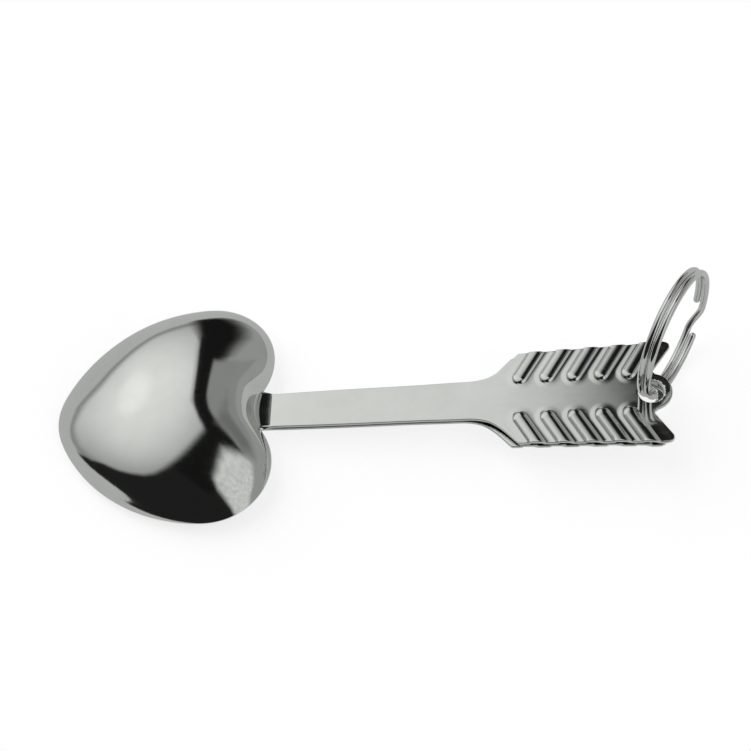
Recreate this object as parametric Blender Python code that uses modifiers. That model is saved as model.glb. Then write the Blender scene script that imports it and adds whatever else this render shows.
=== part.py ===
import math

import bpy
import numpy as np
from mathutils import Vector

MM = 0.001

# Sheet metal and the way the two spoons nest
SHEET = 0.7 * MM
NEST_DROP = 1.5 * MM
NEST_SHIFT = 1.55 * MM
NEST_SETBACK = 1.1 * MM
NEST_TRIM_HANDLE = 0.35 * MM
NEST_TRIM_TAIL = 0.17 * MM

# Heart bowl of the larger spoon, measured from the bend line at the handle root
BEND_X = -77.6 * MM
TIP_RADIUS = 13.0 * MM
TIP_CENTRE_X = -32.45 * MM
SIDE_RADIUS = 33.0 * MM
LOBE_RADIUS = 13.5 * MM
LOBE_CENTRE_X = -13.0 * MM
LOBE_CENTRE_Y = 12.3 * MM
BOWL_DEPTH = 10.0 * MM
APEX_X = -18.5 * MM
DOME_FLATNESS = 2.2
DOME_ROUNDNESS = 1.6
DOME_CUT = 0.18
DOME_CUT_FAR = 0.03
RIM_DROP = 0.5
BOWL_SKEW = 0.035
CROWN_WAVES = 3
CROWN_FROM = 0.12
CROWN_TO = 0.95
SMALL_BOWL_SCALE = 0.693

# Where the bowl meets the handle
NOTCH_RISE = 0.55 * MM
NOTCH_REACH = 0.25
CLEFT_DEPTH = 3.2 * MM
DOME_ROWS = (0.0, 0.015, 0.05, 0.11, 0.2, 0.32, 0.46, 0.6, 0.73, 0.84, 0.92, 0.975)
TIP_STEPS = 4
SIDE_STEPS = 7
LOBE_STEPS = 9
ROOT_FRACTIONS = (1.0, 0.75, 0.5, 0.25)

# Handle half widths along the length, and the shoulder where it widens into the fletching
HANDLE_EDGE = ((-77.6, 3.9), (-71.5, 4.05), (-61.0, 4.2), (-47.0, 4.3), (-40.0, 4.45))
SHOULDER_EDGE = (
    (-36.4, 4.5), (-34.4, 4.75), (-32.4, 5.4), (-30.5, 6.7), (-29.0, 8.1), (-27.6, 9.6), (-26.65, 10.65),
)
SHOULDER_AXIS = (-37.2, -36.2, -35.3, -34.5, -33.9, -33.3, -32.8)

# Outline of the fletching and the tab round the hole
TAIL_CORNER = (-26.5, 10.65)
TAIL_EDGE = ((-15.0, 11.05), (-4.3, 11.43), (2.2, 11.84))
POINT_TIP = ((3.1, 11.75), (3.8, 11.4), (4.1, 10.8), (4.0, 10.2))
VEE_EDGE = ((3.75, 9.8), (0.75, 5.45))
VEE_NOTCH = ((0.5, 5.0), (0.55, 4.6), (0.85, 4.25))
TAB_RADIUS = 4.2 * MM
TAB_STEPS = 7
HOLE_RADIUS = 2.6 * MM
HOLE_SIDES = 40

# Where the tail's outline opens over the handle and the bowl, which it leaves whole
OPEN_FAR = (-140.0, 40.0)
OPEN_NEAR = (-27.6, 40.0)
OPEN_EDGE = (-26.9, 11.2)

# Raised ribs of the fletching
RIB_COUNT = 5
RIB_PITCH = 5.5 * MM
RIB_START_X = -26.2 * MM
RIB_START_Y = 4.8 * MM
RIB_SLANT = math.radians(30.0)
RIB_HALF_WIDTH = 1.4 * MM
RIB_FADE = 0.5 * MM
RIB_HEIGHT = 0.5 * MM
RIB_ROWS = (-1.62, -1.05, -0.45, 0.15, 0.8, 1.5, 2.2)
TAIL_ROWS = (0.22, 0.465, 0.72, 1.0)
TAIL_END_X = 5.5 * MM
TAIL_COLUMNS = (2.4, 3.4, 3.8, 4.4, 5.2, 8.5, 12.6)

# Split ring, two turns of round wire with one side step
RING_WIRE = 1.4 * MM
RING_OUTER = 28.0 * MM
RING_TURN_GAP = 0.1 * MM
RING_TURN_AZIMUTH = math.radians(-28.8)
RING_TILT = math.radians(-2.0)
RING_HEIGHT = 4.4 * MM
RING_CROSSING = (-0.8 * MM, -0.05 * MM)
RING_CROSSING_DEPTH = 1.1 * MM
RING_START = -24.0
RING_STEP_FROM = 310.0
RING_STEP_TO = 334.0
RING_END = 668.0
RING_POINTS = 92
RING_ROUND = ((0.0, 0.35), (0.9, 0.75), (2.1, 0.95))
RING_ROUND_CLEAR = 3.0

# Swing axes
PEEL_HINGE_X = 2.65 * MM
HALF_SHEET = SHEET / 2
RING_RADIUS = (RING_OUTER - RING_WIRE) / 2

STEEL_BODY = (0.80, 0.80, 0.78, 1.0)
STEEL_SMALL = (0.74, 0.74, 0.73, 1.0)
STEEL_RING = (0.83, 0.83, 0.83, 1.0)


def clear_scene():
    for obj in list(bpy.data.objects):
        bpy.data.objects.remove(obj, do_unlink=True)


def new_collection(name, hidden):
    made = bpy.data.collections.new(name)
    bpy.context.scene.collection.children.link(made)
    made.hide_render = hidden
    return made


def steel(name, colour, roughness):
    made = bpy.data.materials.new(name)
    made.use_nodes = True
    shader = made.node_tree.nodes["Principled BSDF"]
    shader.inputs["Base Color"].default_value = colour
    shader.inputs["Metallic"].default_value = 1.0
    shader.inputs["Roughness"].default_value = roughness
    return made


def side_centre(scale):
    """Centre of the side arc that touches the tip arc and the lobe arc from outside."""
    ax, ay = TIP_CENTRE_X * scale, 0.0
    bx, by = LOBE_CENTRE_X * scale, LOBE_CENTRE_Y * scale
    ra = (SIDE_RADIUS - TIP_RADIUS) * scale
    rb = (SIDE_RADIUS - LOBE_RADIUS) * scale
    apart = math.hypot(bx - ax, by - ay)
    along = (ra * ra - rb * rb + apart * apart) / (2 * apart)
    off = math.sqrt(ra * ra - along * along)
    ex, ey = (bx - ax) / apart, (by - ay) / apart
    return ax + along * ex + off * ey, ay + along * ey - off * ex


def arc(centre, radius, start, end, steps):
    angles = np.linspace(start, end, steps + 1)
    return [(centre[0] + radius * math.cos(a), centre[1] + radius * math.sin(a)) for a in angles]


def heart_half(scale, foot_y):
    """Mid sheet outline from the tip to the lobe foot on the +Y side."""
    centre = side_centre(scale)
    tip = (TIP_CENTRE_X * scale, 0.0)
    lobe = (LOBE_CENTRE_X * scale, LOBE_CENTRE_Y * scale)
    to_tip = math.atan2(tip[1] - centre[1], tip[0] - centre[0])
    to_lobe = math.atan2(lobe[1] - centre[1], lobe[0] - centre[0])
    lobe_radius = LOBE_RADIUS * scale - HALF_SHEET
    foot = math.asin((foot_y - lobe[1]) / lobe_radius)
    points = arc(tip, TIP_RADIUS * scale - HALF_SHEET, math.pi, to_tip, TIP_STEPS)
    points += arc(centre, SIDE_RADIUS * scale - HALF_SHEET, to_tip, to_lobe, SIDE_STEPS)[1:]
    points += arc(lobe, lobe_radius, to_lobe, foot, LOBE_STEPS)[1:]
    return points


def bowl_columns(scale, root_half):
    """Half the bowl's columns: rim point, reach of the root fillet and its share, from tip to axis."""
    foot_y = root_half + NOTCH_RISE
    points = heart_half(scale, foot_y)
    curve = (points[-1][0] + CLEFT_DEPTH) / foot_y ** 2
    columns = [(x, y, 0.0, 0.0) for x, y in points[:-1]]
    columns.append((points[-1][0], points[-1][1], -points[-1][0], NOTCH_REACH))
    for share in ROOT_FRACTIONS + (0.0,):
        y = root_half * share
        x = curve * y * y - CLEFT_DEPTH
        columns.append((x, y, -x, 1.0))
    return columns


def skewed(columns):
    """The full loop of columns, with the lobe on the +Y side set back towards the tip."""
    loop = columns + [(x, -y, reach, share) for x, y, reach, share in reversed(columns[1:-1])]
    moved = []
    for x, y, reach, share in loop:
        x -= BOWL_SKEW * y
        moved.append((x, y, -x if share > 0.0 else 0.0, share))
    return moved


def crown_ratios(columns, centre):
    """Ratio of a rounder crown outline to the rim outline, in each column's direction from the apex."""
    x = np.array([column[0] for column in columns]) - centre
    y = np.array([column[1] for column in columns])
    angle, radius = np.arctan2(y, x), np.hypot(x, y)
    weight = np.abs(np.angle(np.exp(1j * (np.roll(angle, -1) - np.roll(angle, 1)))))
    terms = np.stack([np.cos(k * angle) for k in range(CROWN_WAVES)] + [np.sin(angle)], 1)
    root = np.sqrt(weight)
    found = np.linalg.lstsq(terms * root[:, None], radius * root, rcond=None)[0]
    return terms @ found / radius


def dome_spread(rise, cut):
    """Width of the dome at this share of its height, with the rim cut off above the steepest part of the wall."""
    full = cut + (1.0 - cut) * rise
    share = (1.0 - full ** DOME_ROUNDNESS) / (1.0 - cut ** DOME_ROUNDNESS)
    return max(share, 0.0) ** (1.0 / DOME_FLATNESS)


def bowl_point(column, crown, rise, depth, scale):
    """One point of the bowl's mid sheet, measured from the bend line."""
    x, y, reach, share = column
    centre = APEX_X * scale
    part = min(max((rise - CROWN_FROM) / (CROWN_TO - CROWN_FROM), 0.0), 1.0)
    part = part * part * (3.0 - 2.0 * part)
    aside = max(y, 0.0) / math.hypot(x - centre, y)
    cut = DOME_CUT + (DOME_CUT_FAR - DOME_CUT) * aside
    spread = dome_spread(rise, cut) * (1.0 + part * (crown - 1.0))
    height = depth * rise
    foot = 0.0
    if reach > 0.0 and height < reach:
        foot = share * (reach - math.sqrt(reach * reach - (reach - height) ** 2))
    drop = RIM_DROP * HALF_SHEET * (1.0 - share) * (1.0 - rise) ** 2
    return centre + (x - centre) * spread + foot, y * spread, height - drop


def rib_height(x, y):
    """Height of the raised ribs above the flat sheet, with a crisp tip side and a soft tail side."""
    best = 0.0
    sin_slant, cos_slant = math.sin(RIB_SLANT), math.cos(RIB_SLANT)
    for index in range(RIB_COUNT):
        dx = x - RIB_START_X - index * RIB_PITCH
        dy = abs(y) - RIB_START_Y
        along = dx * sin_slant + dy * cos_slant
        across = dx * cos_slant - dy * sin_slant
        distance = abs(across) if along > 0.0 else math.hypot(along, across)
        side = 0.5 if distance == 0.0 else 0.5 + 0.5 * across / distance
        share = distance / (RIB_HALF_WIDTH + RIB_FADE * side)
        if share < 1.0:
            crisp = 1.0 - share * share
            soft = math.cos(math.pi * share / 2) ** 2
            best = max(best, RIB_HEIGHT * ((1.0 - side) * crisp + side * soft))
    return best


class Sheet:
    """Points and faces of one open sheet."""

    def __init__(self):
        self.points = []
        self.faces = []

    def row(self, points):
        first = len(self.points)
        self.points.extend(points)
        return list(range(first, first + len(points)))

    def strip(self, near, far):
        for i in range(len(near) - 1):
            self.faces.append((near[i], near[i + 1], far[i + 1], far[i]))

    def stitch(self, near, far):
        """Joins two rows with different point counts by triangles."""
        i = j = 0
        while i < len(near) - 1 or j < len(far) - 1:
            near_next = (i + 1) / (len(near) - 1)
            far_next = (j + 1) / (len(far) - 1)
            if j == len(far) - 1 or (i < len(near) - 1 and near_next <= far_next):
                self.faces.append((near[i], near[i + 1], far[j]))
                i += 1
            else:
                self.faces.append((near[i], far[j + 1], far[j]))
                j += 1


def mirrored(half):
    """Turns points from the axis outwards into a full row from -Y to +Y."""
    return [(x, -y, z) for x, y, z in reversed(half[1:])] + list(half)


def spoon_sheet(scale, setback, trim_handle, trim_tail):
    """Mid surface of a spoon, with the handle in the plane z = 0 and the hole's centre at the origin."""
    sheet = Sheet()
    root_half = HANDLE_EDGE[0][1] * MM - trim_handle
    depth = BOWL_DEPTH * scale - SHEET
    half = bowl_columns(scale, root_half)
    loop = skewed(half)
    crowns = crown_ratios(loop, APEX_X * scale)
    bend_x = BEND_X - setback
    rows = []
    for rise in DOME_ROWS:
        ring = [bowl_point(c, crown, rise, depth, scale) for c, crown in zip(loop, crowns)]
        rows.append(sheet.row([(bend_x + x, y, z) for x, y, z in ring]))
    top = sheet.row([(bend_x + APEX_X * scale, 0.0, depth)])[0]
    for lower, upper in zip(rows, rows[1:]):
        sheet.strip(lower + lower[:1], upper + upper[:1])
    last = rows[-1] + rows[-1][:1]
    for i in range(len(last) - 1):
        sheet.faces.append((last[i], last[i + 1], top))

    roots = len(ROOT_FRACTIONS)
    axis_at = len(half) - 1
    previous = [rows[0][axis_at + k] for k in range(roots, -roots - 1, -1)]
    for x, width in HANDLE_EDGE[1:]:
        edge = width * MM - trim_handle
        points = [(x * MM, edge * share, 0.0) for share in reversed(ROOT_FRACTIONS + (0.0,))]
        current = sheet.row(mirrored(points))
        sheet.strip(previous, current)
        previous = current

    widest = TAIL_COLUMNS[-1]
    shares = [0.0] + [column / widest for column in TAIL_COLUMNS]
    stitched = False
    for (x, y), axis_x in zip(SHOULDER_EDGE, SHOULDER_AXIS):
        blend = (y - SHOULDER_EDGE[0][1]) / (SHOULDER_EDGE[-1][1] - SHOULDER_EDGE[0][1])
        edge = y * MM - trim_handle * (1.0 - blend) - trim_tail * blend
        points = [((axis_x + (x - axis_x) * s) * MM, edge * s, 0.0) for s in shares]
        current = sheet.row(mirrored(points))
        if stitched:
            sheet.strip(previous, current)
        else:
            sheet.stitch(previous, current)
        stitched = True
        previous = current

    slant = math.tan(RIB_SLANT)
    rib_axis = RIB_START_X - RIB_START_Y * slant
    starts = [rib_axis + i * RIB_PITCH + row * MM for i in range(RIB_COUNT) for row in RIB_ROWS]
    starts += [starts[-1] + (TAIL_END_X - starts[-1]) * share for share in TAIL_ROWS]
    for start in starts:
        points = []
        for share in shares:
            y = share * widest * MM
            x = start + y * slant
            points.append((x, y, rib_height(x, y)))
        current = sheet.row(mirrored(points))
        sheet.strip(previous, current)
        previous = current
    return sheet


def mesh_object(name, points, faces, collection):
    mesh = bpy.data.meshes.new(name)
    mesh.from_pydata([Vector(p) for p in points], [], faces)
    mesh.update()
    made = bpy.data.objects.new(name, mesh)
    collection.objects.link(made)
    return made


def prism(name, outline, low, high, collection):
    """A closed upright solid over an outline that runs anticlockwise."""
    count = len(outline)
    points = [(x, y, low) for x, y in outline] + [(x, y, high) for x, y in outline]
    faces = [tuple(reversed(range(count))), tuple(range(count, 2 * count))]
    for i in range(count):
        j = (i + 1) % count
        faces.append((i, j, count + j, count + i))
    made = mesh_object(name, points, faces, collection)
    made.display_type = "WIRE"
    made.hide_render = True
    return made


def tail_outline(trim_tail):
    """Plan outline of the fletching and tab, opened wide over the rest of the spoon."""
    trimmed = (TAIL_CORNER,) + TAIL_EDGE + POINT_TIP
    half = [(x * MM, y * MM - trim_tail) for x, y in trimmed]
    half += [(x * MM, y * MM) for x, y in VEE_EDGE + VEE_NOTCH]
    start = math.atan2(VEE_NOTCH[-1][1] * MM, VEE_NOTCH[-1][0] * MM)
    for angle in np.linspace(start, 0.0, TAB_STEPS + 1)[1:]:
        half.append((TAB_RADIUS * math.cos(angle), TAB_RADIUS * math.sin(angle)))
    wide = [(x * MM, y * MM) for x, y in (OPEN_FAR, OPEN_NEAR)]
    wide.append((OPEN_EDGE[0] * MM, OPEN_EDGE[1] * MM - trim_tail))
    upper = wide + half
    lower = [(x, -y) for x, y in reversed(upper[:-1])]
    return list(reversed(upper + lower))


def add_modifier(obj, kind, name, **settings):
    made = obj.modifiers.new(name, kind)
    for key, value in settings.items():
        setattr(made, key, value)
    return made


def shift_points(obj, offset):
    for vertex in obj.data.vertices:
        vertex.co += Vector(offset)


def make_spoon(name, scale, setback, trims, shift, pivot, parts, cutters, material):
    """One spoon, cut from its sheet, with its origin on the pivot."""
    sheet = spoon_sheet(scale, setback, *trims)
    spoon = mesh_object(name, sheet.points, sheet.faces, parts)
    clear = 1.5 * BOWL_DEPTH
    trim = prism(name + "_outline", tail_outline(trims[1]), -clear, clear, cutters)
    circle = [
        (HOLE_RADIUS * math.cos(a), HOLE_RADIUS * math.sin(a))
        for a in np.linspace(0.0, 2 * math.pi, HOLE_SIDES, endpoint=False)
    ]
    hole = prism(name + "_hole", circle, -clear, clear, cutters)
    offset = Vector(shift) - Vector((0.0, 0.0, HALF_SHEET)) - Vector(pivot)
    for obj in (spoon, trim, hole):
        shift_points(obj, offset)
        obj.location = pivot
    add_modifier(spoon, "SOLIDIFY", "sheet", thickness=SHEET, offset=0.0, use_even_offset=True)
    add_modifier(spoon, "BOOLEAN", "outline", object=trim, operation="INTERSECT", solver="EXACT")
    add_modifier(spoon, "BOOLEAN", "hole", object=hole, operation="DIFFERENCE", solver="EXACT")
    spoon.data.materials.append(material)
    return spoon, [trim, hole]


def ring_frame():
    """Centre of the ring, its level direction, its rising direction and its normal."""
    azimuth, tilt = RING_TURN_AZIMUTH, RING_TILT
    flat = math.cos(tilt)
    normal = Vector((math.cos(azimuth) * flat, math.sin(azimuth) * flat, math.sin(tilt)))
    level = Vector((-math.sin(azimuth), math.cos(azimuth), 0.0))
    rising = normal.cross(level)
    fall = RING_HEIGHT + RING_CROSSING_DEPTH
    reach = math.sqrt(RING_RADIUS * RING_RADIUS - fall * fall)
    centre = Vector((RING_CROSSING[0], RING_CROSSING[1], RING_HEIGHT)) + level * reach
    return centre, level, rising, normal


def make_ring(name, pivot, parts, material):
    """Two turns of wire, stepping sideways from one turn to the next where the two ends leave a gap."""
    centre, level, rising, normal = ring_frame()
    half_pitch = (RING_WIRE + RING_TURN_GAP) / 2
    angles = list(np.linspace(RING_START, RING_END, RING_POINTS))
    ends = [(RING_START + step, radius) for step, radius in RING_ROUND]
    ends += [(RING_END - step, radius) for step, radius in RING_ROUND]
    inner = [a for a in angles if RING_START + RING_ROUND_CLEAR < a < RING_END - RING_ROUND_CLEAR]
    course = sorted([(a, 1.0) for a in inner] + ends)
    curve = bpy.data.curves.new(name, "CURVE")
    curve.dimensions = "3D"
    curve.bevel_depth = RING_WIRE / 2
    curve.bevel_resolution = 2
    curve.use_fill_caps = True
    spline = curve.splines.new("POLY")
    spline.points.add(len(course) - 1)
    for point, (angle, thickness) in zip(spline.points, course):
        share = (angle - RING_STEP_FROM) / (RING_STEP_TO - RING_STEP_FROM)
        share = min(max(share, 0.0), 1.0)
        side = half_pitch * (2 * share * share * (3 - 2 * share) - 1)
        turn = math.radians(angle)
        place = level * math.cos(turn) + rising * math.sin(turn)
        spot = centre + place * RING_RADIUS + normal * side - Vector(pivot)
        point.co = (spot.x, spot.y, spot.z, 1.0)
        point.radius = thickness
    made = bpy.data.objects.new(name, curve)
    parts.objects.link(made)
    made.location = pivot
    made.data.materials.append(material)
    return made


def rest_pitch():
    """Angle that lets the ring and the small bowl's tip reach the floor together."""
    small_tip_x = BEND_X - NEST_SHIFT - NEST_SETBACK + (TIP_CENTRE_X - TIP_RADIUS) * SMALL_BOWL_SCALE
    centre = ring_frame()[0]
    ring_low = centre.z - RING_RADIUS * math.cos(RING_TILT) - RING_WIRE / 2
    rim_low = -SHEET - NEST_DROP
    return math.atan2(rim_low - ring_low, centre.x - small_tip_x)


def stand_on_floor(base, nodes):
    """Moves the whole set so that its lowest point is at z = 0 and its plan centre over the origin."""
    bpy.context.view_layer.update()
    graph = bpy.context.evaluated_depsgraph_get()
    corners = []
    for node in nodes:
        evaluated = node.evaluated_get(graph)
        mesh = evaluated.to_mesh()
        corners += [evaluated.matrix_world @ vertex.co for vertex in mesh.vertices]
        evaluated.to_mesh_clear()
    low = [min(corner[i] for corner in corners) for i in range(3)]
    high = [max(corner[i] for corner in corners) for i in range(3)]
    base.location = (-(low[0] + high[0]) / 2, -(low[1] + high[1]) / 2, -low[2])


def main():
    clear_scene()
    parts = new_collection("heart_measuring_spoons", False)
    cutters = new_collection("cutters", True)
    base = bpy.data.objects.new("rest_pose", None)
    parts.objects.link(base)
    base.rotation_euler = (0.0, -rest_pitch(), 0.0)

    large, made = make_spoon(
        "large_spoon", 1.0, 0.0, (0.0, 0.0), (0.0, 0.0, 0.0), (0.0, 0.0, 0.0),
        parts, cutters, steel("large_steel", STEEL_BODY, 0.22),
    )
    drop = (-NEST_SHIFT, 0.0, -NEST_DROP)
    peel = (PEEL_HINGE_X, 0.0, -NEST_DROP)
    small, more = make_spoon(
        "small_spoon", SMALL_BOWL_SCALE, NEST_SETBACK, (NEST_TRIM_HANDLE, NEST_TRIM_TAIL), drop, peel,
        parts, cutters, steel("small_steel", STEEL_SMALL, 0.25),
    )
    pivot = (RING_CROSSING[0], RING_CROSSING[1], 0.0)
    ring = make_ring("split_ring", pivot, parts, steel("ring_steel", STEEL_RING, 0.18))
    for obj in [large, small, ring] + made + more:
        obj.parent = base
    stand_on_floor(base, [large, small, ring])


main()
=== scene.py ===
import math

import bmesh
import bpy
import numpy as np
from mathutils import Matrix, Vector
from mathutils.geometry import delaunay_2d_cdt


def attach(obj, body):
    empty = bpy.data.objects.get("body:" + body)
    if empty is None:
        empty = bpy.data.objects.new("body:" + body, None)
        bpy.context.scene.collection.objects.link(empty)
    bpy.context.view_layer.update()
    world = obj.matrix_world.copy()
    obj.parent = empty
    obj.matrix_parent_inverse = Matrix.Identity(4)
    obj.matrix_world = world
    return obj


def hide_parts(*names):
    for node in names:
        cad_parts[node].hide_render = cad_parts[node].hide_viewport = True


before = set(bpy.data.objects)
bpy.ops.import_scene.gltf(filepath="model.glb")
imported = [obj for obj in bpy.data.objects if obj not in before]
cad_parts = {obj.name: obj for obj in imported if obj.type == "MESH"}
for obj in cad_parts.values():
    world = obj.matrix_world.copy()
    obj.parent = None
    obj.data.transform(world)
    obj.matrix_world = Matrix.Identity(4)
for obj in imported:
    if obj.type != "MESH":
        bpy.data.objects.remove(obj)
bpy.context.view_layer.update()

MM = 0.001

# Sheet and nesting, as in the frame
SHEET = 0.7
HALF_SHEET = SHEET / 2
EDGE_ROUND = 0.14
NEST_DROP = 1.5
NEST_SHIFT = 1.55
NEST_SETBACK = 1.1
NEST_TRIM_HANDLE = 0.35
NEST_TRIM_TAIL = 0.17
SMALL_BOWL_SCALE = 0.693

# Fineness of the meshes
WELD = 0.004
EDGE_STEPS = 5
LOOP_STEP = 0.42
LOOP_SMOOTHINGS = 24
HOLE_STEP = 0.18
HOLE_MARGIN = 0.1
EDGE_MARGIN = 0.11
SHARP_ANGLE = math.radians(50)

# Rest pose of the set, from the frame's own placing
REST_PITCH = math.radians(3.6218354773)
REST_PLACE = (0.05510923, -0.0000205, 0.009276274)

# Heart bowl, measured from the bend line
BEND_X = -77.6
TIP_RADIUS = 13.0
TIP_CENTRE_X = -32.45
SIDE_RADIUS = 34.7
LOBE_RADIUS = 13.5
LOBE_CENTRE_X = -13.0
LOBE_CENTRE_Y = 12.3
BOWL_DEPTH = 10.0
APEX_X = -18.5
DOME_FLATNESS = 2.2
DOME_ROUNDNESS = 1.6
DOME_CUT = 0.18
DOME_CUT_FAR = 0.03
RIM_DROP = 0.16
ROOT_RISE = (
    (0.0, 0.107), (0.5, 0.12), (1.0, 0.135), (1.5, 0.155), (2.0, 0.18), (2.3, 0.21), (2.6, 0.33), (2.8, 0.5),
    (3.0, 0.95), (3.1, 1.8), (3.2, 6.0),
)
BOWL_SKEW = 0.035
CROWN_WAVES = 3
CROWN_FROM = 0.12
CROWN_TO = 0.95
LOW_ROWS = 22
LOW_RADIUS = 3.2
LOW_TURN = 0.9
HIGH_ROWS = 80
NOTCH_RISE = 0.55
NOTCH_FADE = 1.1
CLEFT_DEPTH = 3.2

# Handle, shoulder and tail outline
HANDLE_EDGE = ((-77.6, 3.9), (-71.5, 4.05), (-61.0, 4.2), (-47.0, 4.3), (-40.0, 4.45))
SHOULDER_EDGE = (
    (-36.4, 4.5), (-34.4, 4.75), (-32.4, 5.4), (-30.5, 6.7), (-29.0, 8.1), (-27.6, 9.6), (-26.85, 10.4),
)
TAIL_CORNER = ((-26.7, 10.55), (-26.5, 10.65))
TAIL_EDGE = ((-15.0, 11.05), (-4.3, 11.43), (2.2, 11.84))
POINT_TIP = ((3.1, 11.75), (3.8, 11.4), (4.1, 10.8), (4.0, 10.2))
VEE_EDGE = ((3.75, 9.8), (0.75, 5.45))
VEE_NOTCH = ((0.5, 5.0), (0.55, 4.6), (0.85, 4.25))
TAB_RADIUS = 4.2
HOLE_RADIUS = 2.6

# Ribs
RIB_COUNT = 5
RIB_PITCH = 5.5
RIB_START_X = -26.2
RIB_START_Y = 4.8
RIB_SLANT = math.radians(30.0)
RIB_EDGE = (1.14, 1.40)
RIB_TOE = 0.08
RIB_TOE_TOP = 1.60
RIB_TOE_END = 2.9
RIB_CROWN = (0.036, 0.06)
RIB_FALL = (
    (0.0, 0.015), (0.2, 0.032), (0.4, 0.055), (0.6, 0.10), (0.75, 0.20), (0.9, 0.45), (1.05, 0.75), (1.2, 0.70),
    (1.35, 0.30), (1.45, 0.06), (1.6, 0.03), (1.8, 0.022), (2.2, 0.014), (2.6, 0.006), (3.0, 0.0),
)
RIB_HEIGHT = 0.42

# Split ring
RING_WIRE = 1.4
RING_OUTER = 28.0
RING_TURN_GAP = 0.1
RING_TURN_AZIMUTH = math.radians(-28.8)
RING_TILT = math.radians(-2.0)
RING_HEIGHT = 4.4
RING_CROSSING = (-0.8, -0.05)
RING_CROSSING_DEPTH = 1.1
RING_START = -24.0
RING_STEP_FROM = 310.0
RING_STEP_TO = 334.0
RING_END = 668.0
RING_ROWS = 720
RING_SIDES = 28
CAP_ROWS = 9
CAP_START = 0.02

# Steel: light and dark tints, roughness from smooth to rubbed, depth of hairlines and of waves
STEEL = {
    "large": ((0.815, 0.84, 0.80), (0.75, 0.775, 0.735), (0.05, 0.09), 0.10, 0.12),
    "small": ((0.785, 0.80, 0.775), (0.70, 0.715, 0.69), (0.07, 0.12), 0.15, 0.12),
    "ring": ((0.85, 0.865, 0.845), (0.78, 0.795, 0.775), (0.04, 0.08), 0.10, 0.05),
}
SMUDGE_SCALE = 95.0
HAIR_SCALE = (60.0, 2600.0, 2600.0)
HAIR_HEIGHT = 0.00001
WAVE_SCALE = 120.0
WAVE_HEIGHT = 0.0001

# Camera, in the larger spoon's own axes
EYE = (-0.5223, -203.50, 325.796)
EYE_RIGHT = (0.98856, 0.03307, -0.14714)
EYE_UP = (0.05160, 0.84262, 0.53603)
LENS = 91.08

# Surroundings, on a round plan with overhead at the centre, the horizon at radius 1, +X right and +Y up
FLOOR_SIZE = 6.0
FLOOR_DROP = 0.0002
FLOOR_LIFT = 0.72
FLOOR_MIRRORED = 0.2
FLOOR_COLOUR = 0.8
WALL_TURN = 0.16
WALL_BLEND = 0.06
WALL_LEFT = 0.48
WALL_RIGHT = 0.33
FRONT_LEVEL = 0.014
FRONT = ((-1.02, 0.02), (-0.2, -0.05), (0.2, -0.1), (0.62, -1.05), (-0.3, -1.3), (-1.2, -0.5))
SIDE_LEVEL = 0.64
SIDE_MOTTLE = 0.22
SIDE_LIGHT = (
    (0.35, 0.115), (0.21, 0.06), (0.14, -0.06), (0.095, -0.15), (0.10, -0.22), (0.15, -0.31),
    (0.42, -0.73), (0.64, -1.05), (0.90, -0.95), (0.74, -0.50), (0.49, 0.125),
)
SIDE_SOFT = (0.06, 0.06, 0.05, 0.05, 0.08, 0.10, 0.15, 0.2, 0.2, 0.12, 0.06)
GAP_LEVEL = 0.008
LOW_GAP = ((-0.1, 0.1), (-0.2, -0.1), (0.0, -0.3), (0.14, -0.24), (0.40, 0.16), (0.1, 0.2))
HIGH_GAP = (
    (-0.20, 0.99), (-0.055, 0.66), (0.0, 0.56), (0.20, 0.57), (0.27, 0.74), (0.22, 0.86), (0.10, 0.96), (-0.02, 1.0),
)
HIGH_SOFT = (0.09, 0.03, 0.04, 0.22, 0.26, 0.2, 0.12, 0.08)
NECK = (
    (-0.060, 0.72), (-0.045, 0.33), (-0.022, 0.265), (0.03, 0.19), (0.10, 0.12), (0.34, 0.11), (0.34, 0.18),
    (0.10, 0.72),
)
NECK_SOFT = (0.02, 0.025, 0.03, 0.04, 0.04, 0.05, 0.12, 0.03)
SHADE_LEVEL = 0.25
SHADE = ((-0.070, 0.80), (-0.060, 0.30), (0.02, 0.22), (0.2, 0.3), (0.2, 0.8))
SHADE_SOFT = (0.06, 0.04, 0.04, 0.04, 0.04)
BLOB_LEVEL = 0.27
BLOB = (
    (0.078, 0.535), (0.078, 0.33), (0.11, 0.27), (0.16, 0.225), (0.24, 0.185), (0.38, 0.155), (0.6, 0.2), (0.6, 0.5),
    (0.25, 0.54),
)
BLOB_SOFT = (0.035, 0.035, 0.04, 0.05, 0.05, 0.06, 0.1, 0.06, 0.05)
DIM_LEVEL = 0.17
DIM = ((0.20, 0.20), (0.42, 0.17), (0.52, 0.24), (0.52, 0.32), (0.34, 0.34), (0.24, 0.28))
FRAME_LEVEL = 0.26
MAIN_LOW = 0.34
MAIN_GLOW = 0.42
MAIN_CORE = 0.13
MAIN_PEAK = (-0.42, 0.38)
MAIN_SPREAD = 0.13
MAIN_SIDE = (-0.15, 0.28)
GLOW_EDGE = 0.588
GLOW_FALL = 1.5
CORE_EDGE = 0.98
MAIN_LIGHT = (
    (-0.13, 0.90), (0.06, 0.86), (0.12, 0.175), (-0.05, 0.0), (-0.13, -0.08), (-0.22, -0.16), (-0.32, -0.225),
    (-0.42, -0.255), (-0.55, -0.245), (-0.68, -0.21), (-0.77, -0.15), (-0.84, -0.08), (-0.90, 0.0),
    (-0.915, 0.09), (-0.84, 0.26), (-0.74, 0.42), (-0.60, 0.58), (-0.36, 0.78),
)
MAIN_SOFT = 0.08
MAIN_FRAME = (
    (-0.16, 0.96), (0.0, 0.90), (0.06, 0.14), (-0.13, -0.05), (-0.30, -0.19), (-0.42, -0.22),
    (-0.55, -0.21), (-0.77, -0.13), (-0.92, -0.06), (-0.975, 0.04), (-0.96, 0.14), (-0.875, 0.30), (-0.775, 0.46),
    (-0.63, 0.625), (-0.38, 0.83),
)

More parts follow.
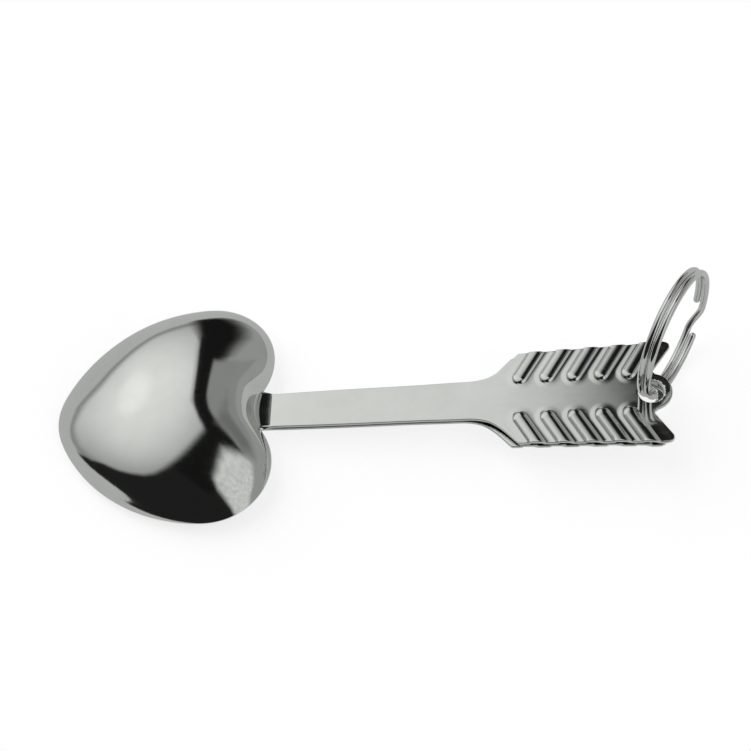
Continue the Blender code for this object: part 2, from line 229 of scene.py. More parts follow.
REST = Matrix.Translation(REST_PLACE) @ Matrix.Rotation(-REST_PITCH, 4, "Y")


def smooth_path(points, step):
    """Catmull-Rom curve through the points, sampled about every step."""
    pts = np.array(points, float)
    ends = np.vstack([2 * pts[0] - pts[1], pts, 2 * pts[-1] - pts[-2]])
    out = [pts[0]]
    for i in range(len(pts) - 1):
        a, b, c, d = ends[i:i + 4]
        count = max(1, int(math.ceil(np.linalg.norm(c - b) / step)))
        ta = 0.0
        tb = ta + max(np.linalg.norm(b - a), 1e-6) ** 0.5
        tc = tb + max(np.linalg.norm(c - b), 1e-6) ** 0.5
        td = tc + max(np.linalg.norm(d - c), 1e-6) ** 0.5
        for k in range(1, count + 1):
            t = tb + (tc - tb) * k / count
            e = a * (tb - t) / (tb - ta) + b * (t - ta) / (tb - ta)
            f = b * (tc - t) / (tc - tb) + c * (t - tb) / (tc - tb)
            g = c * (td - t) / (td - tc) + d * (t - tc) / (td - tc)
            h = e * (tc - t) / (tc - ta) + f * (t - ta) / (tc - ta)
            j = f * (td - t) / (td - tb) + g * (t - tb) / (td - tb)
            out.append(h * (tc - t) / (tc - tb) + j * (t - tb) / (tc - tb))
    return np.array(out)


def straight_path(points, step):
    """Straight lines through the points, sampled about every step."""
    pts = np.array(points, float)
    out = [pts[0]]
    for b, c in zip(pts, pts[1:]):
        count = max(1, int(math.ceil(np.linalg.norm(c - b) / step)))
        out += [b + (c - b) * k / count for k in range(1, count + 1)]
    return np.array(out)


def side_centre(scale):
    """Centre of the arc that joins the heart's tip and lobe."""
    ax, ay = TIP_CENTRE_X * scale, 0.0
    bx, by = LOBE_CENTRE_X * scale, LOBE_CENTRE_Y * scale
    ra = (SIDE_RADIUS - TIP_RADIUS) * scale
    rb = (SIDE_RADIUS - LOBE_RADIUS) * scale
    apart = math.hypot(bx - ax, by - ay)
    along = (ra * ra - rb * rb + apart * apart) / (2 * apart)
    off = math.sqrt(ra * ra - along * along)
    ex, ey = (bx - ax) / apart, (by - ay) / apart
    return ax + along * ex + off * ey, ay + along * ey - off * ex


def arc(centre, radius, start, end, step):
    count = max(2, int(abs(end - start) * radius / step))
    a = np.linspace(start, end, count + 1)
    return np.stack([centre[0] + radius * np.cos(a), centre[1] + radius * np.sin(a)], 1)


def heart_loop(scale, root_half, step):
    """Closed loop of mid sheet rim points without the root fillet, smoothed a little, from the tip round by +Y."""
    centre = side_centre(scale)
    tip = (TIP_CENTRE_X * scale, 0.0)
    lobe = (LOBE_CENTRE_X * scale, LOBE_CENTRE_Y * scale)
    to_tip = math.atan2(tip[1] - centre[1], tip[0] - centre[0])
    to_lobe = math.atan2(lobe[1] - centre[1], lobe[0] - centre[0])
    lobe_radius = LOBE_RADIUS * scale - HALF_SHEET
    foot_y = root_half + NOTCH_RISE
    foot = math.asin((foot_y - lobe[1]) / lobe_radius)
    rows = [
        arc(tip, TIP_RADIUS * scale - HALF_SHEET, math.pi, to_tip, step),
        arc(centre, SIDE_RADIUS * scale - HALF_SHEET, to_tip, to_lobe, step)[1:],
        arc(lobe, lobe_radius, to_lobe, foot, step)[1:],
    ]
    foot_x = rows[-1][-1][0]
    curve = (foot_x + CLEFT_DEPTH) / foot_y ** 2
    ys = np.linspace(foot_y, 0.0, int(foot_y / (step * 0.5)) + 1)[1:]
    rows.append(np.stack([curve * ys ** 2 - CLEFT_DEPTH, ys], 1))
    half = np.concatenate(rows)
    loop = np.concatenate([half, half[-2:0:-1] * (1, -1)])
    return smooth_loop(loop)


def smooth_loop(loop):
    """Closed loop with its corners softened, and its first and middle points kept on the axis."""
    out = loop.copy()
    for _ in range(LOOP_SMOOTHINGS):
        out = 0.5 * out + 0.25 * (np.roll(out, 1, 0) + np.roll(out, -1, 0))
    out[0, 1] = 0.0
    out[len(out) // 2, 1] = 0.0
    return out


def dome_spread(rise, cut):
    """Width of the dome at this share of its height, with the rim cut off above the steepest part of the wall."""
    full = cut + (1 - cut) * rise
    share = (1 - full ** DOME_ROUNDNESS) / (1 - cut ** DOME_ROUNDNESS)
    return np.maximum(share, 0.0) ** (1 / DOME_FLATNESS)


def climb(slopes):
    """Distances and heights of a profile given by its slopes at some distances."""
    fine = np.linspace(0.0, slopes[-1][0], 301)
    slope = np.interp(fine, *zip(*slopes))
    return fine, np.concatenate([[0.0], np.cumsum((slope[1:] + slope[:-1]) / 2 * np.diff(fine))])


def bowl_grid(scale, root_half, depth):
    """Rows of bowl points from the rim upwards, and which columns lie on the handle's root line."""
    loop = heart_loop(scale, root_half, LOOP_STEP)
    x, y = loop[:, 0] - BOWL_SKEW * loop[:, 1], loop[:, 1]
    crown = crown_radii(x - APEX_X * scale, y)
    on_root_side = x > APEX_X * scale
    q = np.clip((np.abs(y) - root_half) / NOTCH_FADE, 0.0, 1.0)
    share = np.where(on_root_side, (1 - q) ** 2, 0.0)
    rooted = share > 0.999
    share[rooted] = 1.0
    reach = np.where(share > 0, -x, 0.0)
    gone, climbed = climb(ROOT_RISE)
    gone, climbed = gone / gone[-1], climbed / gone[-1]
    low = LOW_RADIUS * (1 - np.cos(np.linspace(0.0, LOW_TURN, LOW_ROWS))) / depth
    start = math.asin((DOME_CUT + (1 - DOME_CUT) * low[-1]) ** (DOME_ROUNDNESS / 2))
    high = np.sin(np.linspace(start, math.pi / 2, HIGH_ROWS)[1:-1]) ** (2 / DOME_ROUNDNESS)
    high = (high - DOME_CUT) / (1 - DOME_CUT)
    rises = np.concatenate([low, high])
    centre = APEX_X * scale
    cut = DOME_CUT + (DOME_CUT_FAR - DOME_CUT) * np.maximum(y, 0) / np.hypot(x - centre, y)
    rows = []
    for rise in rises:
        part = smooth_step(rise, CROWN_FROM, CROWN_TO)
        spread = dome_spread(rise, cut) * (1 + part * (crown - 1))
        height = depth * rise
        foot = share * reach * (1 - np.interp(height / np.maximum(reach, 1e-6), climbed, gone))
        drop = RIM_DROP * HALF_SHEET * (1 - share) * (1 - rise) ** 2
        rows.append(np.stack([centre + (x - centre) * spread + foot, y * spread, height - drop], 1))
    return rows, rooted


def crown_radii(x, y):
    """Ratio of a rounder crown outline to the rim outline, in each direction from the apex."""
    angle, radius = np.arctan2(y, x), np.hypot(x, y)
    weight = np.abs(np.angle(np.exp(1j * (np.roll(angle, -1) - np.roll(angle, 1)))))
    waves = [np.cos(k * angle) for k in range(CROWN_WAVES)] + [np.sin(angle)]
    terms = np.stack(waves, 1)
    found = np.linalg.lstsq(terms * weight[:, None] ** 0.5, radius * weight ** 0.5, rcond=None)[0]
    return terms @ found / radius


def smooth_step(value, start, end):
    t = np.clip((value - start) / (end - start), 0.0, 1.0)
    return t * t * (3 - 2 * t)


def rib_height(x, y):
    """Raised ribs: a crisp step on the side towards the bowl, a flat top, and a rounded fall towards the tail."""
    best = np.zeros_like(x)
    s, c = math.sin(RIB_SLANT), math.cos(RIB_SLANT)
    fine, fallen = climb(RIB_FALL)
    for index in range(RIB_COUNT):
        dx = x - RIB_START_X - index * RIB_PITCH
        dy = np.abs(y) - RIB_START_Y
        along = dx * s + dy * c
        across = dx * c - dy * s
        distance = np.where(along > 0, np.abs(across), np.hypot(along, across))
        side = 0.5 + 0.5 * across / np.maximum(distance, 1e-9)
        crown = 1 + distance * (RIB_CROWN[0] - RIB_CROWN[1] * distance)
        step = crown * (1 - smooth_step(distance, *RIB_EDGE))
        toe = smooth_step(distance, RIB_EDGE[1], RIB_TOE_TOP) - smooth_step(distance, RIB_TOE_TOP, RIB_TOE_END)
        left = step + RIB_TOE * toe
        right = 1 - np.interp(distance, fine, fallen) / fallen[-1]
        best = np.maximum(best, RIB_HEIGHT * ((1 - side) * left + side * right))
    return best


def plate_half_outline(trim_handle, trim_tail):
    """Plan outline from the root corner to the tab end on the +Y side."""
    handle = smooth_path([(x, y - trim_handle) for x, y in HANDLE_EDGE] + [
        (x, y - trim_handle + (trim_handle - trim_tail) * (y - 4.5) / 6.15) for x, y in SHOULDER_EDGE
    ], 0.35)
    corner = np.array([(x, y - trim_tail) for x, y in TAIL_CORNER])
    tip = smooth_path([(x, y - trim_tail) for x, y in TAIL_EDGE + POINT_TIP] + list(VEE_EDGE[:1]), 0.3)
    edge = straight_path([corner[-1], tip[0]], 0.3)
    vee = straight_path(VEE_EDGE, 0.3)
    start = math.atan2(VEE_NOTCH[-1][1], VEE_NOTCH[-1][0])
    notch = smooth_path(VEE_EDGE[1:] + VEE_NOTCH, 0.2)
    tab = arc((0.0, 0.0), TAB_RADIUS, start, 0.0, 0.25)
    return np.concatenate([handle, corner[:1], edge, tip[1:], vee[1:], notch[1:], tab])


def inset_loop(loop, distance):
    """Closed anticlockwise loop moved inwards by the distance."""
    before, after = np.roll(loop, 1, 0), np.roll(loop, -1, 0)
    a = loop - before
    b = after - loop
    a /= np.maximum(np.linalg.norm(a, axis=1, keepdims=True), 1e-9)
    b /= np.maximum(np.linalg.norm(b, axis=1, keepdims=True), 1e-9)
    t = a + b
    t /= np.maximum(np.linalg.norm(t, axis=1, keepdims=True), 1e-9)
    return loop + distance * np.stack([-t[:, 1], t[:, 0]], 1)


def plate_points(bend):
    """Points inside the handle and fletching, in rows along the ribs so that their feet and crests lie on rows."""
    lean = math.tan(RIB_SLANT)
    first = RIB_START_X - RIB_START_Y * lean
    across = np.concatenate([
        np.linspace(-1.65, -1.05, 14), np.linspace(-1.05, 0.0, 8)[1:], np.linspace(0.0, 1.6, 20)[1:],
        np.linspace(1.6, RIB_PITCH * math.cos(RIB_SLANT) - 1.65, 7)[1:-1],
    ]) / math.cos(RIB_SLANT)
    starts = [first + k * RIB_PITCH + across for k in range(RIB_COUNT)]
    starts.append(np.arange(first + across[0] - 6.0, first + across[0], 0.5))
    starts.append(np.arange(starts[RIB_COUNT - 1][-1] + 0.4, 4.4, 0.4))
    u, v = np.meshgrid(np.concatenate(starts), np.arange(0.0, 12.0, 0.22))
    ribbed = np.stack([(u + v * lean).ravel(), v.ravel()], 1)
    ribbed = ribbed[ribbed[:, 0] > -32.0]
    u, v = np.meshgrid(np.arange(bend + 1.0, -32.2, 0.7), np.arange(0.0, 8.0, 0.7))
    plain = np.stack([u.ravel(), v.ravel()], 1)
    u, v = np.meshgrid(np.arange(bend - 3.4, bend + 0.9, 0.2), np.arange(0.0, 8.0, 0.35))
    bent = np.stack([u.ravel(), v.ravel()], 1)
    half = np.concatenate([ribbed, plain, bent])
    return np.concatenate([half, half[half[:, 1] > 0] * (1, -1)])


def spoon_mid(scale, setback, trim_handle, trim_tail):
    """Mid surface of one spoon as points and faces."""
    root_half = HANDLE_EDGE[0][1] - trim_handle
    depth = BOWL_DEPTH * scale - SHEET
    rows, rooted = bowl_grid(scale, root_half, depth)
    bend = BEND_X - setback
    count = len(rows[0])
    points = []
    faces = []
    for row in rows:
        points.append(row + (bend, 0, 0))
    top = len(rows) * count
    points.append(np.array([[bend + APEX_X * scale, 0.0, depth]]))
    for r in range(len(rows) - 1):
        for i in range(count):
            j = (i + 1) % count
            faces.append((r * count + i, r * count + j, (r + 1) * count + j, (r + 1) * count + i))
    last = (len(rows) - 1) * count
    for i in range(count):
        faces.append((last + i, last + (i + 1) % count, top))
    root = [i for i in range(count) if rooted[i]]
    root_points = rows[0][root][:, :2] + (bend, 0)

    half = plate_half_outline(trim_handle, trim_tail)
    half = half[half[:, 0] > bend + 0.8]
    # Anticlockwise: down the bowl's root line, along the -Y side to the tab, and back along the +Y side
    lower = half * (1, -1)
    order = root_points[np.argsort(root_points[:, 1])]
    outline = np.concatenate([lower, half[::-1][1:]])
    loop = np.concatenate([order[::-1], outline])
    keep = [loop[0]]
    for p in loop[1:]:
        if np.linalg.norm(p - keep[-1]) > 0.02:
            keep.append(p)
    loop = np.array(keep)
    on_root = (loop[:, 0] < bend + 0.1) & (np.abs(loop[:, 1]) < root_half + 0.05)
    loop = np.where(on_root[:, None], loop, inset_loop(loop, EDGE_ROUND))
    hole_radius = HOLE_RADIUS + EDGE_ROUND
    hole = arc((0, 0), hole_radius, 0, 2 * math.pi, HOLE_STEP)[:-1]
    fine = plate_points(bend)
    fine = fine[inside_loop(fine, loop)]
    fine = fine[np.hypot(fine[:, 0], fine[:, 1]) > hole_radius + HOLE_MARGIN]
    fine = fine[distance_to(fine, loop) > EDGE_MARGIN]
    verts = np.concatenate([loop, hole, fine])
    n, m = len(loop), len(hole)
    edges = [(i, (i + 1) % n) for i in range(n)] + [(n + i, n + (i + 1) % m) for i in range(m)]
    made = delaunay_2d_cdt([Vector(p) for p in verts.tolist()], edges, [], 0, 1e-6)
    flat = np.array([(v.x, v.y) for v in made[0]])
    tris = np.array([tuple(f) for f in made[2] if len(f) == 3])
    middle = flat[tris].mean(1)
    good = inside_loop(middle, loop) & (np.hypot(middle[:, 0], middle[:, 1]) > hole_radius * 0.998)
    tris = tris[good]
    a, b, c = flat[tris[:, 0]], flat[tris[:, 1]], flat[tris[:, 2]]
    turn = (b[:, 0] - a[:, 0]) * (c[:, 1] - a[:, 1]) - (b[:, 1] - a[:, 1]) * (c[:, 0] - a[:, 0])
    tris = tris[np.abs(turn) > 1e-9]
    turn = turn[np.abs(turn) > 1e-9]
    tris[turn > 0] = tris[turn > 0][:, ::-1]
    z = rib_height(flat[:, 0], flat[:, 1])
    base = top + 1
    points.append(np.stack([flat[:, 0], flat[:, 1], z], 1))
    faces += [tuple(int(v) + base for v in t) for t in tris]
    return np.concatenate(points), faces


def inside_loop(points, loop):
    """Which points lie inside a closed loop."""
    x, y = points[:, 0][:, None], points[:, 1][:, None]
    x1, y1 = loop[:, 0][None], loop[:, 1][None]
    x2, y2 = np.roll(loop[:, 0], -1)[None], np.roll(loop[:, 1], -1)[None]
    result = np.zeros(len(points), bool)
    for s in range(0, len(points), 2000):
        xs, ys = x[s:s + 2000], y[s:s + 2000]
        crossing = ((y1 > ys) != (y2 > ys)) & (xs < (x2 - x1) * (ys - y1) / np.where(y2 == y1, 1e-12, y2 - y1) + x1)
        result[s:s + 2000] = crossing.sum(1) % 2 == 1
    return result


def distance_to(points, loop):
    """Distance of each point to a closed loop."""
    a, b = loop, np.roll(loop, -1, 0)
    d = b - a
    length = np.maximum((d ** 2).sum(1), 1e-12)
    out = np.empty(len(points))
    for s in range(0, len(points), 1500):
        p = points[s:s + 1500][:, None]
        t = np.clip(((p - a[None]) * d[None]).sum(2) / length[None], 0, 1)
        out[s:s + 1500] = np.linalg.norm(p - (a[None] + t[..., None] * d[None]), axis=2).min(1)
    return out


def new_mesh(name, points, faces):
    mesh = bpy.data.meshes.new(name)
    mesh.from_pydata([tuple(p) for p in points], [], faces)
    mesh.update()
    return mesh


def shell(name, points, faces):
    """Closed sheet of the metal's thickness round the mid surface, with rounded edges."""
    mesh = new_mesh(name + "_mid", points, faces)
    work = bmesh.new()
    work.from_mesh(mesh)
    bmesh.ops.remove_doubles(work, verts=work.verts, dist=WELD)
    bmesh.ops.recalc_face_normals(work, faces=work.faces)
    work.to_mesh(mesh)
    work.free()
    count = len(mesh.vertices)
    mid = np.empty(count * 3)
    mesh.vertices.foreach_get("co", mid)
    mid = mid.reshape(-1, 3)
    normal = np.array([v.vector for v in mesh.vertex_normals])
    if normal[np.argmax(mid[:, 2])][2] < 0:
        mesh.flip_normals()
        mesh.update()
        normal = np.array([v.vector for v in mesh.vertex_normals])
    polys = [tuple(p.vertices) for p in mesh.polygons]
    edges = {}
    for poly in polys:
        for i in range(len(poly)):
            a, b = poly[i], poly[(i + 1) % len(poly)]
            edges[(a, b)] = edges.get((a, b), 0) + 1
    border = {a: b for a, b in edges if (b, a) not in edges}
    top = mid + normal * HALF_SHEET
    low = mid - normal * HALF_SHEET
    all_points = [top, low]
    all_faces = list(polys) + [tuple(v + count for v in reversed(poly)) for poly in polys]
    used = 2 * count
    left = dict(border)
    while left:
        first = next(iter(left))
        loop = [first]
        follow = left.pop(first)
        while follow != first:
            loop.append(follow)
            follow = left.pop(follow)
        ids = np.array(loop)
        p, n = mid[ids], normal[ids]
        along = np.roll(p, -1, 0) - np.roll(p, 1, 0)
        along /= np.maximum(np.linalg.norm(along, axis=1, keepdims=True), 1e-9)
        out = np.cross(along, n)
        out /= np.maximum(np.linalg.norm(out, axis=1, keepdims=True), 1e-9)
        previous = ids
        straight = HALF_SHEET - EDGE_ROUND
        profile = []
        for a in np.linspace(0, math.pi / 2, EDGE_STEPS)[1:]:
            profile.append((EDGE_ROUND * math.sin(a), straight + EDGE_ROUND * math.cos(a)))
        for a in np.linspace(0, math.pi / 2, EDGE_STEPS)[:-1]:
            profile.append((EDGE_ROUND * math.cos(a), -straight - EDGE_ROUND * math.sin(a)))
        for reach, height in profile:
            all_points.append(p + out * reach + n * height)
            current = np.arange(used, used + len(ids))
            used += len(ids)
            for i in range(len(ids)):
                j = (i + 1) % len(ids)
                all_faces.append((previous[j], previous[i], current[i], current[j]))
            previous = current
        current = ids + count
        for i in range(len(ids)):
            j = (i + 1) % len(ids)
            all_faces.append((previous[j], previous[i], current[i], current[j]))
    bpy.data.meshes.remove(mesh)
    return np.concatenate(all_points), [tuple(int(v) for v in f) for f in all_faces]


def place(name, points, faces, offset, material, body, node):
    """Adds a skin at its place in the resting set, riding on its body in place of the CAD node."""
    x, y, z = offset
    world = [REST @ Vector(((p[0] + x) * MM, (p[1] + y) * MM, (p[2] + z) * MM)) for p in points]
    mesh = new_mesh(name, world, faces)
    mesh.shade_smooth()
    mesh.set_sharp_from_angle(angle=SHARP_ANGLE)
    obj = bpy.data.objects.new(name, mesh)
    bpy.context.scene.collection.objects.link(obj)
    obj.data.materials.append(material)
    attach(obj, body)
    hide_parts(node)
    return obj


def ring_mesh():
    """Tube along the ring's two turns with rounded ends."""
    azimuth, tilt = RING_TURN_AZIMUTH, RING_TILT
    normal = np.array([math.cos(azimuth) * math.cos(tilt), math.sin(azimuth) * math.cos(tilt), math.sin(tilt)])
    level = np.array([-math.sin(azimuth), math.cos(azimuth), 0.0])
    rising = np.cross(normal, level)
    radius = (RING_OUTER - RING_WIRE) / 2
    wire = RING_WIRE / 2
    fall = RING_HEIGHT + RING_CROSSING_DEPTH
    centre = np.array([RING_CROSSING[0], RING_CROSSING[1], RING_HEIGHT]) + level * math.sqrt(radius ** 2 - fall ** 2)
    half_pitch = (RING_WIRE + RING_TURN_GAP) / 2
    cap = math.degrees(wire / radius)
    growing, shrinking = np.linspace((CAP_START, math.pi / 2), (math.pi / 2, CAP_START), CAP_ROWS).T
    shape = [(RING_START + cap * (1 - math.cos(a)), math.sin(a)) for a in growing]
    shape += [(a, 1.0) for a in np.linspace(RING_START + cap, RING_END - cap, RING_ROWS)[1:-1]]
    shape += [(RING_END - cap * (1 - math.cos(a)), math.sin(a)) for a in shrinking]
    path = []
    for angle, _ in shape:
        share = min(max((angle - RING_STEP_FROM) / (RING_STEP_TO - RING_STEP_FROM), 0.0), 1.0)
        side = half_pitch * (2 * share * share * (3 - 2 * share) - 1)
        turn = math.radians(angle)
        path.append(centre + radius * (level * math.cos(turn) + rising * math.sin(turn)) + normal * side)
    path = np.array(path)
    tangent = np.gradient(path, axis=0)
    tangent /= np.linalg.norm(tangent, axis=1, keepdims=True)
    sides = RING_SIDES
    points, faces = [], []
    for k, (_, thickness) in enumerate(shape):
        first = np.cross(normal, tangent[k])
        first /= np.linalg.norm(first)
        second = np.cross(tangent[k], first)
        for s in range(sides):
            a = 2 * math.pi * s / sides
            points.append(path[k] + wire * thickness * (first * math.cos(a) + second * math.sin(a)))
    for k in range(len(shape) - 1):
        for s in range(sides):
            t = (s + 1) % sides
            faces.append((k * sides + s, k * sides + t, (k + 1) * sides + t, (k + 1) * sides + s))
    faces.append(tuple(reversed(range(sides))))
    faces.append(tuple(range((len(shape) - 1) * sides, len(shape) * sides)))
    return np.array(points), faces


def node(tree, kind, **values):
    """New node with its settings, those for its inputs named in_..."""
    made = tree.nodes.new(kind)
    for key, value in values.items():
        if key.startswith("in_"):
            made.inputs[key[3:].replace("_", " ")].default_value = value
        else:
            setattr(made, key, value)
    return made


def link(tree, out, inp):
    tree.links.new(out, inp)


def steel(name, light, dark, rough, hair, wave):
    """Polished steel with faint smudges, fine hairlines along the piece and a slight waviness of the sheet."""
    made = bpy.data.materials.new(name)
    made.use_nodes = True
    tree = made.node_tree
    shader = tree.nodes["Principled BSDF"]
    shader.inputs["Metallic"].default_value = 1.0
    coord = node(tree, "ShaderNodeTexCoord")
    smudge = node(tree, "ShaderNodeTexNoise", in_Scale=SMUDGE_SCALE, in_Detail=5.0, in_Roughness=0.6)
    link(tree, coord.outputs["Object"], smudge.inputs["Vector"])
    tint = node(tree, "ShaderNodeValToRGB")
    tint.color_ramp.elements[0].position = 0.3
    tint.color_ramp.elements[0].color = (*dark, 1)
    tint.color_ramp.elements[1].position = 0.7
    tint.color_ramp.elements[1].color = (*light, 1)
    link(tree, smudge.outputs["Fac"], tint.inputs["Fac"])
    link(tree, tint.outputs["Color"], shader.inputs["Base Color"])
    stretch = node(tree, "ShaderNodeMapping")
    stretch.inputs["Scale"].default_value = HAIR_SCALE
    link(tree, coord.outputs["Object"], stretch.inputs["Vector"])
    hairs = node(tree, "ShaderNodeTexNoise", in_Scale=1.0, in_Detail=3.0, in_Roughness=0.6)
    link(tree, stretch.outputs["Vector"], hairs.inputs["Vector"])
    rubbed = span(tree, hairs.outputs["Fac"], 0.3, 0.7, *rough, "LINEAR")
    link(tree, rubbed, shader.inputs["Roughness"])
    waves = node(tree, "ShaderNodeTexNoise", in_Scale=WAVE_SCALE, in_Detail=1.0, in_Roughness=0.4)
    link(tree, coord.outputs["Object"], waves.inputs["Vector"])
    bump = node(tree, "ShaderNodeBump", in_Strength=wave, in_Distance=WAVE_HEIGHT)
    link(tree, waves.outputs["Fac"], bump.inputs["Height"])
    fine = node(tree, "ShaderNodeBump", in_Strength=hair, in_Distance=HAIR_HEIGHT)
    link(tree, hairs.outputs["Fac"], fine.inputs["Height"])
    link(tree, bump.outputs["Normal"], fine.inputs["Normal"])
    link(tree, fine.outputs["Normal"], shader.inputs["Normal"])
    return made


def build_object():
    bright, lower, wire = (steel("steel_" + name, *look) for name, look in STEEL.items())
    pts, faces = shell("large", *spoon_mid(1.0, 0.0, 0.0, 0.0))
    place("large_spoon_skin", pts, faces, (0, 0, -HALF_SHEET), bright, "large", "large_spoon")
    pts, faces = shell("small", *spoon_mid(SMALL_BOWL_SCALE, NEST_SETBACK, NEST_TRIM_HANDLE, NEST_TRIM_TAIL))
    drop = (-NEST_SHIFT, 0, -NEST_DROP - HALF_SHEET)
    place("small_spoon_skin", pts, faces, drop, lower, "small", "small_spoon")
    pts, faces = ring_mesh()
    place("split_ring_skin", pts, faces, (0, 0, 0), wire, "ring", "split_ring")


def build_floor():
    """Pale floor, lifted to white for the camera and less so for mirrored rays."""
    bpy.ops.mesh.primitive_plane_add(size=FLOOR_SIZE, location=(0, 0, -FLOOR_DROP))
    floor = bpy.context.object
    floor.name = "floor"
    made = bpy.data.materials.new("floor_white")
    made.use_nodes = True
    tree = made.node_tree
    tree.nodes.clear()
    out = node(tree, "ShaderNodeOutputMaterial")
    diffuse = node(tree, "ShaderNodeBsdfDiffuse")
    glow = node(tree, "ShaderNodeEmission")
    glow.inputs["Color"].default_value = (1, 1, 1, 1)
    path = node(tree, "ShaderNodeLightPath")
    mirrored = math_node(tree, "MAXIMUM", path.outputs["Is Glossy Ray"], path.outputs["Is Transmission Ray"])
    mirrored = math_node(tree, "MULTIPLY", mirrored, FLOOR_MIRRORED)
    lift = math_node(tree, "MULTIPLY", path.outputs["Is Camera Ray"], FLOOR_LIFT)
    link(tree, math_node(tree, "MAXIMUM", lift, mirrored), glow.inputs["Strength"])
    diffuse.inputs["Color"].default_value = (FLOOR_COLOUR, FLOOR_COLOUR, FLOOR_COLOUR, 1)
    add = node(tree, "ShaderNodeAddShader")
    link(tree, diffuse.outputs[0], add.inputs[0])
    link(tree, glow.outputs[0], add.inputs[1])
    link(tree, add.outputs[0], out.inputs["Surface"])
    floor.data.materials.append(made)


def span(tree, value, start, end, low, high, shape="SMOOTHSTEP"):
    """Step of a value from low at start to high at end."""
    made = node(tree, "ShaderNodeMapRange", interpolation_type=shape)
    made.inputs["From Min"].default_value = start
    made.inputs["From Max"].default_value = end
    made.inputs["To Min"].default_value = low
    made.inputs["To Max"].default_value = high
    link(tree, value, made.inputs["Value"])
    return made.outputs["Result"]


def math_node(tree, operation, a, b):
    made = node(tree, "ShaderNodeMath", operation=operation)
    for index, value in enumerate((a, b)):
        if isinstance(value, (int, float)):
            made.inputs[index].default_value = value
        else:
            link(tree, value, made.inputs[index])
    return made.outputs[0]


def sky(x, y):
    """Direction of a point on a round plan of the surroundings: overhead at the centre, the horizon at radius 1."""
    radius = math.hypot(x, y)
    elevation = math.pi / 2 * (1 - radius)
    flat = math.cos(elevation)
    return Vector((x / radius * flat, y / radius * flat, math.sin(elevation)))


def along(tree, direction, axis):
    """How far a direction points along an axis."""
    made = node(tree, "ShaderNodeVectorMath", operation="DOT_PRODUCT")
    link(tree, direction, made.inputs[0])
    made.inputs[1].default_value = axis
    return made.outputs["Value"]


def round_plan(tree, direction):
    """Place of a direction on the round plan of the surroundings."""
    split = node(tree, "ShaderNodeSeparateXYZ")
    link(tree, direction, split.inputs[0])
    polar = math_node(tree, "MULTIPLY", math_node(tree, "ARCCOSINE", split.outputs["Z"], 0.0), 2 / math.pi)
    flat = node(tree, "ShaderNodeCombineXYZ")
    link(tree, split.outputs["X"], flat.inputs["X"])
    link(tree, split.outputs["Y"], flat.inputs["Y"])
    unit = node(tree, "ShaderNodeVectorMath", operation="NORMALIZE")
    link(tree, flat.outputs[0], unit.inputs[0])
    plan = node(tree, "ShaderNodeVectorMath", operation="SCALE")
    link(tree, unit.outputs[0], plan.inputs[0])
    link(tree, polar, plan.inputs["Scale"])
    return plan.outputs[0]


def panel(tree, plan, corners, softness):
    """Mask of a panel with its corners on the round plan. Softness is one number, or one for each edge."""
    spots = [Vector((x, y, 0)) for x, y in corners]
    middle = sum(spots, Vector()) / len(spots)
    if isinstance(softness, float):
        softness = (softness,) * len(spots)
    mask = None
    for index, soft in enumerate(softness):
        here, there = spots[index], spots[(index + 1) % len(spots)]
        inward = Vector((here.y - there.y, there.x - here.x, 0)).normalized()
        if inward.dot(middle - here) < 0:
            inward.negate()
        level = inward.dot(here)
        edge = span(tree, along(tree, plan, inward), level - soft / 2, level + soft / 2, 0.0, 1.0)
        mask = edge if mask is None else math_node(tree, "MINIMUM", mask, edge)
    return mask


def paint(tree, under, over, mask):
    """Lays one level over another where the mask is 1."""
    made = node(tree, "ShaderNodeMix", data_type="FLOAT")
    for index, value in zip((0, 2, 3), (mask, under, over)):
        if isinstance(value, (int, float)):
            made.inputs[index].default_value = value
        else:
            link(tree, value, made.inputs[index])
    return made.outputs[0]


def halo(tree, way, spot):
    """Glow round a spot on the plan, from 0 at its edge to 1 at the spot."""
    near = along(tree, way, tuple(sky(*spot)))
    return near, math_node(tree, "POWER", span(tree, near, GLOW_EDGE, 1.0, 0.0, 1.0, "LINEAR"), GLOW_FALL)


def main_glow(tree, way):
    """Level of the broad light, with its peak and a weaker spread beside it."""
    near, wide = halo(tree, way, MAIN_PEAK)
    core = span(tree, near, CORE_EDGE, 1.0, 0.0, MAIN_CORE)
    _, beside = halo(tree, way, MAIN_SIDE)
    glow = math_node(tree, "ADD", math_node(tree, "MULTIPLY", wide, MAIN_GLOW), core)
    glow = math_node(tree, "ADD", glow, math_node(tree, "MULTIPLY", beside, MAIN_SPREAD))
    return math_node(tree, "ADD", glow, MAIN_LOW)


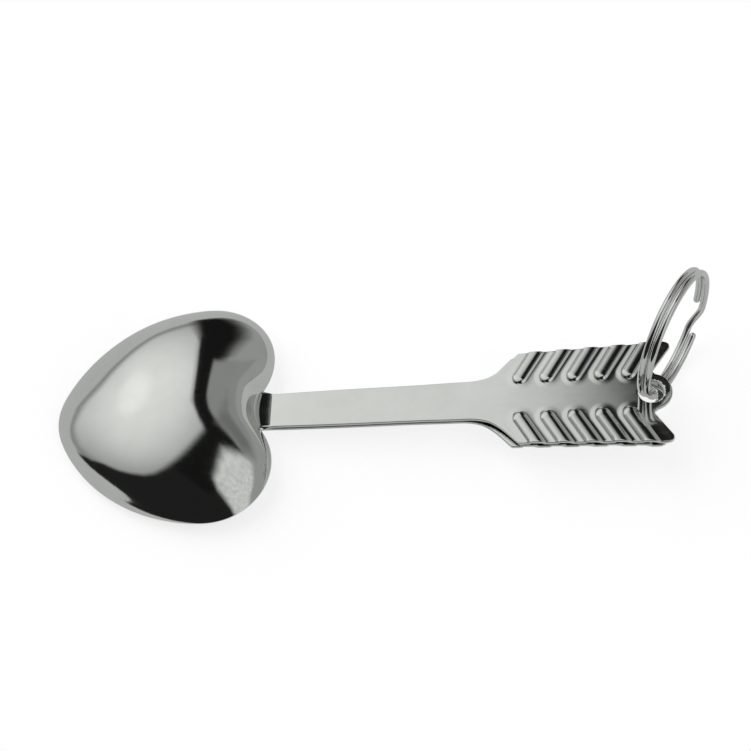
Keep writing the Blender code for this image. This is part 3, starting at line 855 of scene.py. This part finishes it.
def build_world():
    """Studio round the object: a broad light above and left, a lower one on the right, dark front, grey walls."""
    world = bpy.data.worlds.new("studio")
    bpy.context.scene.world = world
    world.use_nodes = True
    tree = world.node_tree
    tree.nodes.clear()
    coord = node(tree, "ShaderNodeTexCoord")
    way = coord.outputs["Generated"]
    plan = round_plan(tree, way)
    side = along(tree, way, (math.cos(WALL_TURN), 0, -math.sin(WALL_TURN)))
    level = span(tree, side, -WALL_BLEND, WALL_BLEND, WALL_LEFT, WALL_RIGHT)
    level = paint(tree, level, FRONT_LEVEL, panel(tree, plan, FRONT, 0.10))
    level = paint(tree, level, GAP_LEVEL, panel(tree, plan, LOW_GAP, 0.06))
    level = paint(tree, level, FRAME_LEVEL, panel(tree, plan, MAIN_FRAME, 0.05))
    level = paint(tree, level, main_glow(tree, way), panel(tree, plan, MAIN_LIGHT, MAIN_SOFT))
    level = paint(tree, level, SHADE_LEVEL, panel(tree, plan, SHADE, SHADE_SOFT))
    level = paint(tree, level, GAP_LEVEL, panel(tree, plan, HIGH_GAP, HIGH_SOFT))
    level = paint(tree, level, GAP_LEVEL, panel(tree, plan, NECK, NECK_SOFT))
    level = paint(tree, level, BLOB_LEVEL, panel(tree, plan, BLOB, BLOB_SOFT))
    level = paint(tree, level, DIM_LEVEL, panel(tree, plan, DIM, 0.1))
    mottle = node(tree, "ShaderNodeTexNoise", in_Scale=16.0, in_Detail=4.0, in_Roughness=0.6)
    link(tree, way, mottle.inputs["Vector"])
    low, high = SIDE_LEVEL - SIDE_MOTTLE / 2, SIDE_LEVEL + SIDE_MOTTLE / 2
    side = span(tree, mottle.outputs["Fac"], 0.35, 0.65, low, high, "LINEAR")
    level = paint(tree, level, side, panel(tree, plan, SIDE_LIGHT, SIDE_SOFT))
    shade = node(tree, "ShaderNodeBackground")
    link(tree, level, shade.inputs["Strength"])
    shade.inputs["Color"].default_value = (1, 1, 1, 1)
    out = node(tree, "ShaderNodeOutputWorld")
    link(tree, shade.outputs[0], out.inputs["Surface"])


def build_camera():
    """Camera at the photograph's place, set square from its right and up directions."""
    data = bpy.data.cameras.new("camera")
    data.sensor_width = 36.0
    data.lens = LENS
    data.clip_start = 0.01
    data.clip_end = 20.0
    camera = bpy.data.objects.new("camera", data)
    bpy.context.scene.collection.objects.link(camera)
    right, up = Vector(EYE_RIGHT), Vector(EYE_UP)
    right.normalize()
    back = right.cross(up)
    back.normalize()
    up = back.cross(right)
    local = Matrix((right, up, back)).transposed().to_4x4()
    local.translation = Vector(EYE) * MM
    camera.matrix_world = REST @ local
    bpy.context.scene.camera = camera


def main():
    build_object()
    build_floor()
    build_world()
    build_camera()
    scene = bpy.context.scene
    scene.view_settings.view_transform = "Standard"


main()
